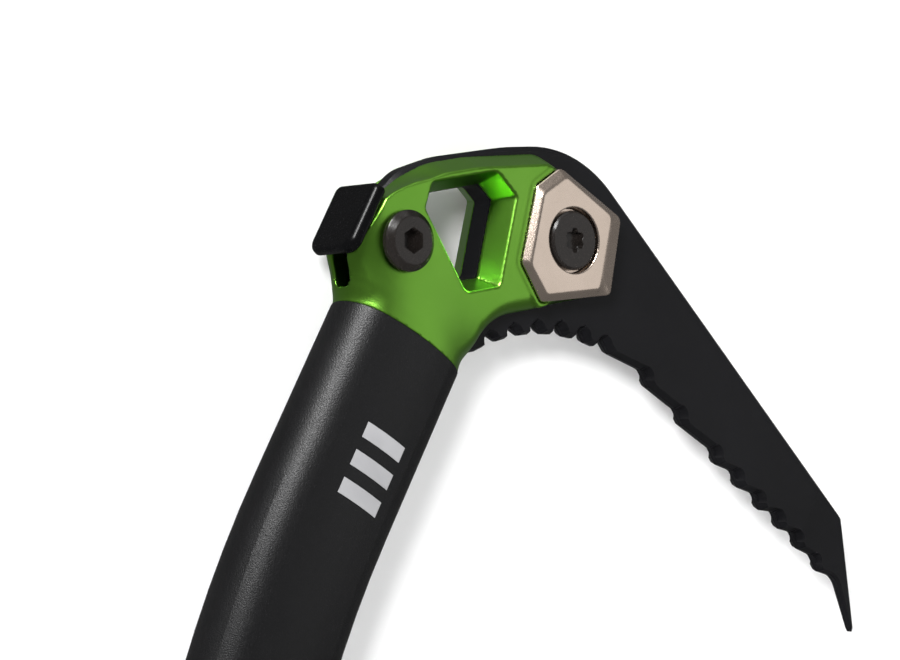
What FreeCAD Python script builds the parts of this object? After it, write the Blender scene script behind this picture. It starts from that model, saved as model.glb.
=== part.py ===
import FreeCAD, Part
import math
import os

import Sketcher

# Technical ice tool: a green aluminium head on a curved oval tube, a toothed pick and a small
# hammer bolted in the head's slot, a rubber grip, a pommel that slides and clamps, and a spike.
#
# Row frame: origin at the centre of the head's eye, +X towards the pick, +Z up, Y across.
# Three local frames are used, each with its own Placement in the row frame:
#   head frame  x forward, z up along the top of the shaft, origin at the eye's centre
#   bolt frames z along the bolt, which lies across the head
#   grip frame  z up along the grip, origin at the tube's lower end, on its axis

V = FreeCAD.Vector
LEFT = -1
RIGHT = 1

doc = FreeCAD.newDocument("ice_tool")

# ---------------------------------------------------------------- driving dimensions, mm and degrees

DIMENSIONS = {
    # shaft
    "head_lean": 29.2,
    "shaft_depth": 33.8,
    "shaft_width": 21.2,
    "shaft_nose_radius": 9.6,
    "shaft_wall": 1.8,
    "shaft_offset": -0.8,
    "collar_end": 28.8,
    "upper_straight": 41.0,
    "upper_bend_radius": 250.0,
    "upper_bend_turn": 27.0,
    "middle_straight": 48.0,
    "lower_bend_radius": 130.0,
    "lower_bend_turn": 13.0,
    "grip_straight": 152.0,
    # head
    "head_width": 17.5,
    "slot_width": 5.3,
    "spigot_length": 24.0,
    "bond_gap": 0.1,
    "head_bevel": 2.2,
    "weight_seat_depth": 2.4,
    "rear_bolt_x": -14.2,
    "rear_bolt_z": -12.1,
    "front_bolt_x": 25.9,
    "front_bolt_z": 12.7,
    # pick, weights and hammer
    "pick_thickness": 5.1,
    "tooth_edge": 1.2,
    "spine_chamfer": 1.1,
    "scallop_depth": 1.9,
    "weight_height": 4.2,
    "weight_chamfer": 1.5,
    "hammer_width": 14.1,
    "hammer_flare": 1.2,
    "hammer_face": 26.4,
    "hammer_block": 2.8,
    # screws
    "bolt_shank": 8.0,
    "bolt_clearance": 0.15,
    "button_head": 13.4,
    "button_height": 2.3,
    "button_hex": 5.0,
    "low_head": 13.4,
    "low_height": 2.6,
    "thread_diameter": 6.0,
    "thread_length": 6.0,
    "bolt_shoulder": 9.0,
    "sleeve_length": 7.0,
    "counterbore": 14.4,
    # grip and pommel
    "grip_bottom": 54.0,
    "grip_length": 92.0,
    "upper_grip_length": 44.0,
    "upper_grip_wall": 1.2,
    "core_wall": 1.2,
    "rubber_wall": 2.2,
    "ledge_reach": 15.0,
    "pommel_gap": 0.15,
    "pommel_wall": 3.2,
    "pommel_height": 27.0,
    "pommel_rest": 3.0,
    "pommel_ledge": 17.0,
    "pommel_ledge_width": 17.0,
    "clamp_slit": 2.4,
    "ear_length": 9.6,
    "ear_thickness": 4.2,
    "screw_diameter": 4.0,
    "pivot_diameter": 6.0,
    "pivot_clearance": 0.05,
    "lever_width": 12.0,
    "washer_diameter": 8.4,
    # spike
    "spike_thickness": 4.0,
    "spike_length": 37.0,
    "clip_hole": 13.0,
    "plug_length": 30.0,
    "pin_diameter": 4.0,
}

sheet = doc.addObject("Spreadsheet::Sheet", "dimensions")
for row, (alias, number) in enumerate(DIMENSIONS.items(), start=1):
    sheet.set("A%d" % row, alias)
    sheet.set("B%d" % row, repr(number))
    sheet.setAlias("B%d" % row, alias)
doc.recompute()


def size(alias):
    """The value of one driving dimension, read from the sheet."""
    return float(sheet.get(alias))


# ---------------------------------------------------------------- helpers for sketches and features


def new_body(label):
    """A PartDesign body whose Label is the sub-part's name."""
    body = doc.addObject("PartDesign::Body", label)
    body.Label = label
    return body


def new_sketch(body, role="XZ_Plane", offset=0.0):
    """A sketch on one of the body's own origin planes, moved by offset along the plane's normal.

    The XZ plane's normal is -Y, so a positive offset there is towards the left side.
    """
    plane = next(item for item in body.Origin.OriginFeatures if item.Role == role)
    sketch = body.newObject("Sketcher::SketchObject", body.Label + "_sketch")
    sketch.AttachmentSupport = (plane, [""])
    sketch.MapMode = "FlatFace"
    sketch.AttachmentOffset = FreeCAD.Placement(V(0, 0, offset), FreeCAD.Rotation())
    return sketch


def finish_feature(body, feature, sizes):
    """Bind the feature's sizes to the sheet, recompute, and make it the body's tip."""
    for name, formula in sizes.items():
        feature.setExpression(name, formula)
    body.Tip = feature
    doc.recompute()
    return feature


def pad(body, sketch, length, centred=True, backwards=False):
    """Extrude a sketch; centred means half of the length each way."""
    feature = body.newObject("PartDesign::Pad", body.Label + "_pad")
    feature.Profile = sketch
    feature.SideType = "Symmetric" if centred else "One side"
    feature.Reversed = backwards
    return finish_feature(body, feature, {"Length": length})


def pocket(body, sketch, length, centred=True, backwards=False, taper=0.0):
    """Cut a sketch out of the body, and stop if nothing was cut."""
    before = body.Shape.Volume
    feature = body.newObject("PartDesign::Pocket", body.Label + "_pocket")
    feature.Profile = sketch
    feature.SideType = "Symmetric" if centred else "One side"
    feature.Reversed = backwards
    feature.TaperAngle = taper
    finish_feature(body, feature, {"Length": length})
    check_cut(body, before)
    return feature


def check_cut(body, before):
    """A cut that points away from the solid removes nothing."""
    if body.Shape.Volume > before - 0.01:
        raise ValueError("a cut in %s removed nothing" % body.Label)


def loft(body, first, second, cut=False):
    """A ruled loft between two sketches, added to the body or cut out of it."""
    before = body.Shape.Volume if cut else 0.0
    kind = "PartDesign::SubtractiveLoft" if cut else "PartDesign::AdditiveLoft"
    feature = body.newObject(kind, body.Label + "_loft")
    feature.Profile = first
    feature.Sections = [second]
    feature.Ruled = True
    finish_feature(body, feature, {})
    if cut:
        check_cut(body, before)
    return feature


def revolve(body, sketch, axis):
    """A full turn of a sketch about one of its own axes."""
    feature = body.newObject("PartDesign::Revolution", body.Label + "_revolution")
    feature.Profile = sketch
    feature.ReferenceAxis = (sketch, [axis])
    return finish_feature(body, feature, {"Angle": "360"})


def mirror_across_middle(body, features):
    """Repeat features on the other side of the body's XZ plane."""
    feature = body.newObject("PartDesign::Mirrored", body.Label + "_mirrored")
    feature.Originals = features
    plane = next(item for item in body.Origin.OriginFeatures if item.Role == "XZ_Plane")
    feature.MirrorPlane = (plane, [""])
    return finish_feature(body, feature, {})


def chamfer(body, sizes, picked):
    """Chamfer the edges that picked(edge) chooses."""
    base = body.Tip
    names = ["Edge%d" % (i + 1) for i, edge in enumerate(body.Shape.Edges) if picked(edge)]
    feature = body.newObject("PartDesign::Chamfer", body.Label + "_chamfer")
    feature.Base = (base, names)
    return finish_feature(body, feature, sizes)


def corner_arc(before, corner, after, radius):
    """Where an arc of this radius leaves and meets the two sides of a corner, and its centre."""
    back = (before - corner).normalize()
    ahead = (after - corner).normalize()
    half = back.getAngle(ahead) / 2
    start = corner + back * (radius / math.tan(half))
    end = corner + ahead * (radius / math.tan(half))
    centre = corner + (back + ahead).normalize() * (radius / math.sin(half))
    return start, end, centre


def draw_outline(sketch, corners):
    """A closed outline of straight sides; a corner is (x, y, radius), and radius 0 is sharp."""
    points = [V(x, y, 0) for x, y, radius in corners]
    count = len(points)
    ends = []
    for i, (x, y, radius) in enumerate(corners):
        if radius == 0:
            ends.append((points[i], points[i]))
            continue
        start, end, centre = corner_arc(points[i - 1], points[i], points[(i + 1) % count], radius)
        middle = centre + (points[i] - centre).normalize() * radius
        sketch.addGeometry(Part.Arc(start, middle, end), False)
        ends.append((start, end))
    for i in range(count):
        start = ends[i][1]
        end = ends[(i + 1) % count][0]
        if start.distanceToPoint(end) > 1e-6:
            sketch.addGeometry(Part.LineSegment(start, end), False)


def draw_circle(sketch, x, y, diameter):
    """A circle whose diameter is a formula on the sheet."""
    index = sketch.addGeometry(Part.Circle(V(x, y, 0), V(0, 0, 1), 1.0), False)
    line = sketch.addConstraint(Sketcher.Constraint("Diameter", index, 2.0))
    sketch.setExpression("Constraints[%d]" % line, diameter)


# Where a nose's middle arc ends, as a part of the nose's half turn.
NOSE_MARK = 0.45


def draw_oval(sketch, depth, width, nose, x=0.0, y=0.0):
    """An oval of four tangent arcs: two flat sides of large radius and two round noses.

    Each nose is drawn as three arcs, so that an oval has as many sides as a rounded rectangle.
    """
    half_depth = depth / 2
    half_width = width / 2
    nose_x = half_depth - nose
    side = (nose_x ** 2 + half_width ** 2 - nose ** 2) / (2 * (half_width - nose))
    join = math.atan2(side - half_width, nose_x)
    for way in (1, -1):
        turn = 0.0 if way > 0 else math.pi
        centre = V(x + way * nose_x, y, 0)
        marks = [-join, -join * NOSE_MARK, join * NOSE_MARK, join]
        for start, end in zip(marks, marks[1:]):
            circle = Part.Circle(centre, V(0, 0, 1), nose)
            sketch.addGeometry(Part.ArcOfCircle(circle, turn + start, turn + end), False)
        circle = Part.Circle(V(x, y - way * (side - half_width), 0), V(0, 0, 1), side)
        sketch.addGeometry(Part.ArcOfCircle(circle, turn + join, turn + math.pi - join), False)


def inset(corners, distance):
    """The same outline with its sides moved inwards; the corners run anticlockwise.

    distance is one number, or a list with one number for each side, which starts at its corner.
    """
    count = len(corners)
    steps = distance if isinstance(distance, list) else [distance] * count
    lines = []
    for i in range(count):
        start = V(corners[i][0], corners[i][1], 0)
        end = V(corners[(i + 1) % count][0], corners[(i + 1) % count][1], 0)
        along = (end - start).normalize()
        inward = V(-along.y, along.x, 0)
        lines.append((start + inward * steps[i], along))
    moved = []
    for i in range(count):
        point, along = lines[i - 1]
        other, across_way = lines[i]
        cross = along.x * across_way.y - along.y * across_way.x
        gap = other - point
        step = (gap.x * across_way.y - gap.y * across_way.x) / cross
        meet = point + along * step
        moved.append((meet.x, meet.y, corners[i][2]))
    return moved


# ---------------------------------------------------------------- where the local frames sit

HEAD_TURN = FreeCAD.Rotation(V(0, 1, 0), size("head_lean"))
HEAD_PLACE = FreeCAD.Placement(V(0, 0, 0), HEAD_TURN)


def shaft_route():
    """The tube's centre line in the head frame, from the collar down, as Part edges.

    Returns the edges, the lower end and the forward turn there, in degrees.
    """
    point = V(size("shaft_offset"), -size("collar_end"), 0)
    turn = 0.0
    edges = []
    stretches = [
        ("straight", size("upper_straight"), 0.0),
        ("bend", size("upper_bend_radius"), size("upper_bend_turn")),
        ("straight", size("middle_straight"), 0.0),
        ("bend", size("lower_bend_radius"), size("lower_bend_turn")),
        ("straight", size("grip_straight"), 0.0),
    ]
    for kind, length, angle in stretches:
        if kind == "straight":
            end = point + route_way(turn) * length
            edges.append(Part.LineSegment(point, end))
        else:
            centre = point + route_side(turn) * length
            middle = centre - route_side(turn + angle / 2) * length
            end = centre - route_side(turn + angle) * length
            edges.append(Part.Arc(point, middle, end))
            turn += angle
        point = end
    return edges, point, turn


def route_way(turn):
    """Downwards along the shaft after it has turned forward by this many degrees."""
    angle = math.radians(turn)
    return V(math.sin(angle), -math.cos(angle), 0)


def route_side(turn):
    """Square to the shaft, towards the front."""
    angle = math.radians(turn)
    return V(math.cos(angle), math.sin(angle), 0)


ROUTE, ROUTE_END, ROUTE_TURN = shaft_route()
GRIP_TURN = FreeCAD.Rotation(V(0, 1, 0), size("head_lean") - ROUTE_TURN)
GRIP_ORIGIN = HEAD_TURN.multVec(V(ROUTE_END.x, 0, ROUTE_END.y))
GRIP_PLACE = FreeCAD.Placement(GRIP_ORIGIN, GRIP_TURN)


def across(frame, x, z, y, side):
    """A placement whose local z points out of the left or right side of a frame, at (x, y, z)."""
    turn = FreeCAD.Rotation(V(1, 0, 0), -90 * side)
    return frame.multiply(FreeCAD.Placement(V(x, y * side, z), turn))


# ---------------------------------------------------------------- outlines shared by sub-parts

# The eye where it opens on the side of the head, anticlockwise from its top corner, head frame.
EYE = [
    (0.2, 15.2, 3.0),
    (-14.4, 3.0, 1.8),
    (-13.2, -3.2, 1.6),
    (5.6, -13.2, 2.2),
    (13.4, -7.0, 1.6),
    (7.9, 13.3, 1.3),
]
EYE_INSET = 2.6

# The weight's foot and its smaller top face, anticlockwise, head frame.
WEIGHT_FOOT = [
    (15.4, 25.6, 2.2),
    (11.4, 18.1, 1.6),
    (15.9, 0.9, 1.8),
    (25.2, -3.9, 1.4),
    (42.6, 8.4, 1.5),
    (36.9, 25.5, 2.0),
]
WEIGHT_TOP = [
    (17.2, 24.0, 1.6),
    (13.2, 16.8, 1.4),
    (17.5, 1.2, 1.6),
    (24.9, -2.2, 1.2),
    (38.0, 7.2, 1.2),
    (33.2, 23.6, 1.6),
]
WEIGHT_WALL = 1.8

# The cross pins that hold the spike: x and z in the grip frame.
PIN_PLACES = [(-4.5, 9.0), (4.5, 19.0)]


# ---------------------------------------------------------------- shaft


def make_shaft_tube():
    """The hydroformed tube: one oval section along the whole route, hollow from end to end."""
    body = new_body("shaft_tube")
    for cut, wall in ((False, 0.0), (True, size("shaft_wall"))):
        section = new_sketch(body, "XY_Plane", -size("collar_end"))
        draw_oval(
            section,
            size("shaft_depth") - 2 * wall,
            size("shaft_width") - 2 * wall,
            size("shaft_nose_radius") - wall,
            size("shaft_offset"),
        )
        spine = new_sketch(body)
        for edge in ROUTE:
            spine.addGeometry(edge, False)
        kind = "PartDesign::SubtractivePipe" if cut else "PartDesign::AdditivePipe"
        pipe = body.newObject(kind, "shaft_tube_pipe")
        pipe.Profile = section
        pipe.Spine = spine
        finish_feature(body, pipe, {})
    holes = new_sketch(body)
    for x, z in PIN_PLACES:
        place = V(ROUTE_END.x, ROUTE_END.y, 0) + route_side(ROUTE_TURN) * x - route_way(ROUTE_TURN) * z
        draw_circle(holes, place.x, place.y, "dimensions.pin_diameter")
    pocket(body, holes, "dimensions.shaft_width * 2")
    body.Placement = HEAD_PLACE
    return body


# ---------------------------------------------------------------- head

HEAD_OUTLINE = [
    (11.8, 27.6, 8.0),
    (-6.0, 15.3, 40.0),
    (-14.5, 8.2, 20.0),
    (-19.3, 1.5, 12.0),
    (-23.5, -7.2, 0),
    (-23.5, -18.4, 0),
    (-20.8, -20.3, 0),
    (15.9, -20.3, 0),
    (15.9, -13.3, 13.0),
    (42.4, 8.0, 0),
    (35.8, 24.6, 3.0),
    (19.2, 24.6, 0),
    (18.6, 28.0, 0),
]
SLOT_FLOOR = -26.0
NECK_LEVEL = -20.3
NECK_FRONT = 15.9
NECK_REAR = -20.6
NECK_CORNER = 1.2
WEIGHT_PLAY = 0.25
# Further than any edge of the head from its origin.
BEYOND = 60.0


def make_head():
    """Two cheeks round the slot, a collar that spreads to the tube's oval, and a spigot inside it."""
    body = new_body("head")
    plate = new_sketch(body)
    draw_outline(plate, HEAD_OUTLINE)
    pad(body, plate, "dimensions.head_width")
    add_top_bevel(body)
    add_collar(body)
    cut_eye(body)
    cut_weight_seats(body)
    slot = new_sketch(body)
    far = BEYOND
    draw_outline(slot, [(far, far, 0), (-far, far, 0), (-far, SLOT_FLOOR, 0), (far, SLOT_FLOOR, 0)])
    pocket(body, slot, "dimensions.slot_width")
    holes = new_sketch(body)
    bore = "dimensions.bolt_shank + 2 * dimensions.bolt_clearance"
    for bolt in ("rear", "front"):
        draw_circle(holes, size(bolt + "_bolt_x"), size(bolt + "_bolt_z"), bore)
    pocket(body, holes, "dimensions.head_width * 2")
    body.Placement = HEAD_PLACE
    return body


def add_top_bevel(body):
    """The broad bevel along the top and rear edge of each cheek."""
    side = size("head_width") / 2

    def on_top(edge):
        at_side = all(abs(abs(v.Point.y) - side) < 1e-4 for v in edge.Vertexes)
        return at_side and edge.CenterOfMass.x < 9 and edge.CenterOfMass.z > 10

    chamfer(body, {"Size": "dimensions.head_bevel"}, on_top)


def add_collar(body):
    """From a rounded rectangle inside the cheeks down to the tube's oval, then the spigot."""
    oval = new_sketch(body, "XY_Plane", -size("collar_end"))
    draw_oval(
        oval,
        size("shaft_depth"),
        size("shaft_width"),
        size("shaft_nose_radius"),
        size("shaft_offset"),
    )
    neck = new_sketch(body, "XY_Plane", NECK_LEVEL)
    half = size("head_width") / 2
    draw_outline(
        neck,
        [
            (NECK_FRONT, half, NECK_CORNER),
            (NECK_REAR, half, NECK_CORNER),
            (NECK_REAR, -half, NECK_CORNER),
            (NECK_FRONT, -half, NECK_CORNER),
        ],
    )
    loft(body, oval, neck)
    spigot = new_sketch(body, "XY_Plane", -size("collar_end"))
    shrink = size("shaft_wall") + size("bond_gap")
    draw_oval(
        spigot,
        size("shaft_depth") - 2 * shrink,
        size("shaft_width") - 2 * shrink,
        size("shaft_nose_radius") - shrink,
        size("shaft_offset"),
    )
    pad(body, spigot, "dimensions.spigot_length", centred=False, backwards=True)


def cut_eye(body):
    """The eye's walls slope inwards from each side to the slot."""
    mouth = new_sketch(body, offset=size("head_width") / 2)
    draw_outline(mouth, EYE)
    throat = new_sketch(body, offset=0.0)
    cheeks = size("head_width") - size("slot_width")
    draw_outline(throat, inset(EYE, EYE_INSET * size("head_width") / cheeks))
    funnel = loft(body, mouth, throat, cut=True)
    mirror_across_middle(body, [funnel])


def cut_weight_seats(body):
    """The shallow recess on each cheek that takes the foot of a weight."""
    seat = new_sketch(body, offset=size("head_width") / 2)
    draw_outline(seat, inset(WEIGHT_FOOT, -WEIGHT_PLAY))
    cut = pocket(body, seat, "dimensions.weight_seat_depth", centred=False)
    mirror_across_middle(body, [cut])


# ---------------------------------------------------------------- pick

# Under the head the teeth lie along an arc: small blocks with a notch between each pair.
ARC_CENTRE = (60.3, -50.5)
NOTCH_RADIUS = 53.5
CREST_RADIUS = 51.1
NOTCH_STEP = 7.75
FIRST_NOTCH = 138.0
NOTCH_COUNT = 6
CREST_START = 2.8
CREST_END = 5.7

# Beyond the arc the teeth are hooked towards the hand: the point of each tooth, head frame.
TOOTH_POINTS = [
    (70.5, 0.1),
    (84.7, -2.3),
    (99.6, -4.6),
    (108.8, -5.9),
    (118.0, -7.1),
    (126.3, -7.9),
    (134.5, -9.1),
    (143.5, -10.7),
]
FIRST_POINT = (55.7, 0.6)
TOOTH_BEVEL = 0.8
TOOTH_RUN = 4.7
TOOTH_DEPTH = 2.3
PICK_TIP = (163.5, -20.5)
TIP_THICKNESS = 1.4
TAPER_START = 132.0
TOOTH_SCALLOP = 5.0
NOTCH_SCALLOP = 4.8
SCALLOP_RADIUS = 51.9
SCALLOP_TAPER = -25.0
# The round end of the hammer's tang, and the room that the pick leaves for it.
HAMMER_BOSS = 7.0
BOSS_ROOM = 0.3


def arc_point(radius, degrees):
    """A point of the toothed arc."""
    angle = math.radians(degrees)
    return (ARC_CENTRE[0] + radius * math.cos(angle), ARC_CENTRE[1] + radius * math.sin(angle), 0)


def scallop_points():
    """The centres of the scallops below the notches under the head, from the shaft outwards."""
    return [arc_point(SCALLOP_RADIUS, FIRST_NOTCH - NOTCH_STEP * i) for i in range(NOTCH_COUNT)]


def gullet_points():
    """The bottom of the gullet behind each hooked tooth."""
    return [(x - TOOTH_RUN, z + TOOTH_DEPTH, 0) for x, z in TOOTH_POINTS]


def pick_outline():
    """Anticlockwise from the tail: under the eye, out along the teeth, and back along the spine.

    Returns the corners and, side by side with them, how far each side is bevelled inwards.
    """
    bolt_x, bolt_z = size("rear_bolt_x"), size("rear_bolt_z")
    boss = HAMMER_BOSS + BOSS_ROOM
    tang = [(-21.6, bolt_z + boss + 0.4, 0), (-17.5, bolt_z + boss + 0.4, 0)]
    for degrees in (95, 70, 45, 20, -5, -30, -55):
        angle = math.radians(degrees)
        tang.append((bolt_x + boss * math.cos(angle), bolt_z + boss * math.sin(angle), 0))
    tang += [(-8.0, -20.0, 3.0), (8.0, -24.4, 3.0)]
    teeth = [(17.2, -21.6, 0)]
    for i in range(-1, NOTCH_COUNT):
        degrees = FIRST_NOTCH - NOTCH_STEP * i
        if i > -1:
            teeth.append(arc_point(NOTCH_RADIUS, degrees))
        if i < NOTCH_COUNT - 1:
            teeth.append(arc_point(CREST_RADIUS, degrees - CREST_START))
            teeth.append(arc_point(CREST_RADIUS, degrees - CREST_END))
    teeth.append((FIRST_POINT[0], FIRST_POINT[1], 0))
    for gullet, point in zip(gullet_points(), TOOTH_POINTS):
        teeth.append(gullet)
        teeth.append((point[0], point[1], 0.25))
    teeth.append((TOOTH_POINTS[-1][0] + 6.0, TOOTH_POINTS[-1][1] + 1.6, 6.0))
    spine = [(PICK_TIP[0], PICK_TIP[1], 0.3), (142.4, 4.4, 0), (23.0, 37.1, 32.0)]
    spine += [(4.0, 24.4, 60.0), (-11.4, 12.0, 30.0), (-19.3, 3.3, 12.0)]
    bevels = [0.0] * len(tang) + [TOOTH_BEVEL] * len(teeth) + [0.0] * len(spine)
    return tang + teeth + spine, bevels


def make_pick():
    """The blade: bevelled teeth below, a chamfered spine above, and a tang with its own eye."""
    body = new_body("pick")
    side = size("pick_thickness") / 2
    edge = size("tooth_edge") / 2
    corners, bevels = pick_outline()
    blade = new_sketch(body)
    draw_outline(blade, corners)
    pad(body, blade, "dimensions.tooth_edge")
    inner = new_sketch(body, offset=edge)
    draw_outline(inner, corners)
    outer = new_sketch(body, offset=side)
    draw_outline(outer, inset(corners, bevels))
    cheek = loft(body, inner, outer)
    mirror_across_middle(body, [cheek])

    def on_spine(edge):
        flat = all(abs(abs(v.Point.y) - side) < 1e-4 for v in edge.Vertexes)
        return flat and edge.Length > 60

    chamfer(body, {"Size": "dimensions.spine_chamfer"}, on_spine)
    taper_tip(body)
    scallops = new_sketch(body, offset=side)
    for x, z, radius in scallop_points():
        draw_circle(scallops, x, z, repr(NOTCH_SCALLOP))
    for x, z, radius in gullet_points():
        draw_circle(scallops, x + 1.2, z - 1.4, repr(TOOTH_SCALLOP))
    cones = pocket(body, scallops, "dimensions.scallop_depth", centred=False, taper=SCALLOP_TAPER)
    mirror_across_middle(body, [cones])
    window = new_sketch(body)
    draw_outline(window, inset(EYE, EYE_INSET))
    bore = "dimensions.bolt_shank + 2 * dimensions.bolt_clearance"
    draw_circle(window, size("front_bolt_x"), size("front_bolt_z"), bore)
    pocket(body, window, "dimensions.pick_thickness * 2")
    body.Placement = HEAD_PLACE
    return body


def taper_tip(body):
    """The last stretch thins from the full thickness to a narrow edge at the tip."""
    side = size("pick_thickness") / 2
    outside = side + 1.0
    end = PICK_TIP[0] + 2.0
    cut = new_sketch(body, "XY_Plane")
    for way in (LEFT, RIGHT):
        corners = [
            (TAPER_START, way * side, 0),
            (end, way * TIP_THICKNESS / 2, 0),
            (end, way * outside, 0),
            (TAPER_START, way * outside, 0),
        ]
        draw_outline(cut, corners)
    pocket(body, cut, "200")


# ---------------------------------------------------------------- weights and hammer

BLOCK_TOP = -4.4
BLOCK_BOTTOM = -21.2
BLOCK_CORNER = 1.8
TANG_HALF_HEIGHT = 6.6


def make_pick_weight(side):
    """A steel cheek with a sloped rim and a counterbore that hides most of the bolt's head."""
    label = "pick_weight_left" if side == LEFT else "pick_weight_right"
    body = new_body(label)
    flip = -side
    foot_level = size("head_width") / 2 - size("weight_seat_depth")
    top_level = foot_level + size("weight_height")
    shoulder = top_level - size("weight_chamfer")
    foot = new_sketch(body, offset=flip * foot_level)
    draw_outline(foot, WEIGHT_FOOT)
    height = "dimensions.weight_height - dimensions.weight_chamfer"
    pad(body, foot, height, centred=False, backwards=side == RIGHT)
    rim = new_sketch(body, offset=flip * shoulder)
    draw_outline(rim, WEIGHT_FOOT)
    face = new_sketch(body, offset=flip * top_level)
    draw_outline(face, WEIGHT_TOP)
    loft(body, rim, face)
    counterbore = new_sketch(body, offset=flip * top_level)
    draw_circle(counterbore, size("front_bolt_x"), size("front_bolt_z"), "dimensions.counterbore")
    depth = "dimensions.weight_height - %r" % WEIGHT_WALL
    pocket(body, counterbore, depth, centred=False, backwards=side == RIGHT)
    hole = new_sketch(body)
    bore = "dimensions.bolt_shank + 2 * dimensions.bolt_clearance"
    draw_circle(hole, size("front_bolt_x"), size("front_bolt_z"), bore)
    pocket(body, hole, "dimensions.head_width * 2")
    body.Placement = HEAD_PLACE
    return body


def make_hammer():
    """A striking block that widens towards the head, and a tang with a round boss in the slot."""
    body = new_body("hammer")
    rear = -size("hammer_face")
    block_front = rear + size("hammer_block")
    half = size("hammer_width") / 2
    sections = []
    for level, half_width in ((rear, half), (block_front, half + size("hammer_flare"))):
        section = new_sketch(body, "YZ_Plane", level)
        draw_outline(
            section,
            [
                (half_width, BLOCK_TOP, BLOCK_CORNER),
                (-half_width, BLOCK_TOP, BLOCK_CORNER),
                (-half_width, BLOCK_BOTTOM, BLOCK_CORNER),
                (half_width, BLOCK_BOTTOM, BLOCK_CORNER),
            ],
        )
        sections.append(section)
    loft(body, *sections)
    tang = new_sketch(body)
    bolt_x, bolt_z = size("rear_bolt_x"), size("rear_bolt_z")
    boss = HAMMER_BOSS
    inside = block_front - 0.5
    corners = [(inside, bolt_z + TANG_HALF_HEIGHT, 0), (inside, bolt_z - TANG_HALF_HEIGHT, 0)]
    for degrees in range(-110, 115, 20):
        angle = math.radians(degrees)
        corners.append((bolt_x + boss * math.cos(angle), bolt_z + boss * math.sin(angle), 0))
    draw_outline(tang, corners)
    pad(body, tang, "dimensions.pick_thickness")
    hole = new_sketch(body)
    draw_circle(hole, bolt_x, bolt_z, "dimensions.bolt_shank + 2 * dimensions.bolt_clearance")
    pocket(body, hole, "dimensions.head_width")
    body.Placement = HEAD_PLACE
    return body


# ---------------------------------------------------------------- screws through the head

BUTTON_SLOPE = 1.5
HEX_DEPTH = 3.0
LOBE_DEPTH = 1.9
LOBE_OUTER = 2.8
LOBE_INNER = 2.05


def half_profile(body, corners):
    """A sketch beside the local z axis, to be turned about it; corners are (radius, z, rounding)."""
    sketch = new_sketch(body)
    draw_outline(sketch, corners)
    return sketch


def cut_hex(body, level, across_flats, depth):
    """A hexagonal socket from the given level downwards."""
    sketch = new_sketch(body, "XY_Plane", level)
    corner = across_flats / math.sqrt(3)
    angles = [math.radians(60 * i) for i in range(6)]
    draw_outline(sketch, [(corner * math.cos(a), corner * math.sin(a), 0) for a in angles])
    pocket(body, sketch, repr(depth), centred=False)


def cut_six_lobe(body, level, depth):
    """A six-lobe socket from the given level downwards."""
    sketch = new_sketch(body, "XY_Plane", level)
    lobe = [(-0.32, LOBE_OUTER, 0.35), (0.32, LOBE_OUTER, 0.35), (1.0, LOBE_INNER, 0.5)]
    corners = []
    for i in range(6):
        for step, radius, rounding in lobe:
            angle = math.radians(60 * i + 30 * step)
            corners.append((radius * math.cos(angle), radius * math.sin(angle), rounding))
    draw_outline(sketch, corners)
    pocket(body, sketch, repr(depth), centred=False)


def button_profile(height):
    """The flat-topped head of a button screw, sloped at its rim, above its own seat."""
    edge = size("button_head") / 2
    return [(edge, 0, 0), (edge, height * 0.45, 0.3), (edge - BUTTON_SLOPE, height, 0.4)]


def low_profile(height):
    """A low cylindrical head with a small chamfer."""
    edge = size("low_head") / 2
    return [(edge, 0, 0), (edge, height - 0.5, 0), (edge - 0.5, height, 0)]


def make_bolt(label, place, head, height, socket):
    """A bolt: its head stands on local z = 0, a plain shank below it and a thinner thread."""
    body = new_body(label)
    shank = size("bolt_shank") / 2
    thread = size("thread_diameter") / 2
    step = -size("bolt_shoulder")
    end = step - size("thread_length")
    profile = [(0, end, 0), (thread - 0.5, end, 0), (thread, end + 0.5, 0), (thread, step, 0)]
    profile += [(shank, step, 0), (shank, 0, 0)] + head(height) + [(0, height, 0)]
    revolve(body, half_profile(body, profile), "V_Axis")
    socket(body, height)
    body.Placement = place
    return body


def make_sleeve_nut(label, place, head, height, socket):
    """The bolt's mate: the same head on a sleeve as thick as the shank, with the thread's bore."""
    body = new_body(label)
    shank = size("bolt_shank") / 2
    thread = size("thread_diameter") / 2
    end = -size("sleeve_length")
    profile = [(0, -0.2, 0), (thread, -0.2, 0), (thread, end, 0), (shank, end, 0), (shank, 0, 0)]
    profile += head(height) + [(0, height, 0)]
    revolve(body, half_profile(body, profile), "V_Axis")
    socket(body, height)
    body.Placement = place
    return body


def hex_socket(body, height):
    """The socket of a button screw."""
    cut_hex(body, height, size("button_hex"), HEX_DEPTH)


def six_lobe_socket(body, height):
    """The socket of a low-head screw."""
    cut_six_lobe(body, height, LOBE_DEPTH)


def make_head_screws():
    """Both bolts from the left and both sleeve nuts from the right."""
    cheek = size("head_width") / 2
    weight_floor = cheek - size("weight_seat_depth") + WEIGHT_WALL
    sets = [
        ("hammer", "rear", cheek, button_profile, size("button_height"), hex_socket),
        ("pick", "front", weight_floor, low_profile, size("low_height"), six_lobe_socket),
    ]
    made = []
    for name, hole, seat, head, height, socket in sets:
        x, z = size(hole + "_bolt_x"), size(hole + "_bolt_z")
        left = across(HEAD_PLACE, x, z, seat, LEFT)
        right = across(HEAD_PLACE, x, z, seat, RIGHT)
        made.append(make_bolt(name + "_bolt", left, head, height, socket))
        made.append(make_sleeve_nut(name + "_nut", right, head, height, socket))
    return made


# ---------------------------------------------------------------- grip

GRIP_FLANGE = 3.0
BOND = 0.05
LEDGE_WIDTH = 15.0
LEDGE_HEIGHT = 17.0
LEDGE_PLAY = 0.4


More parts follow.
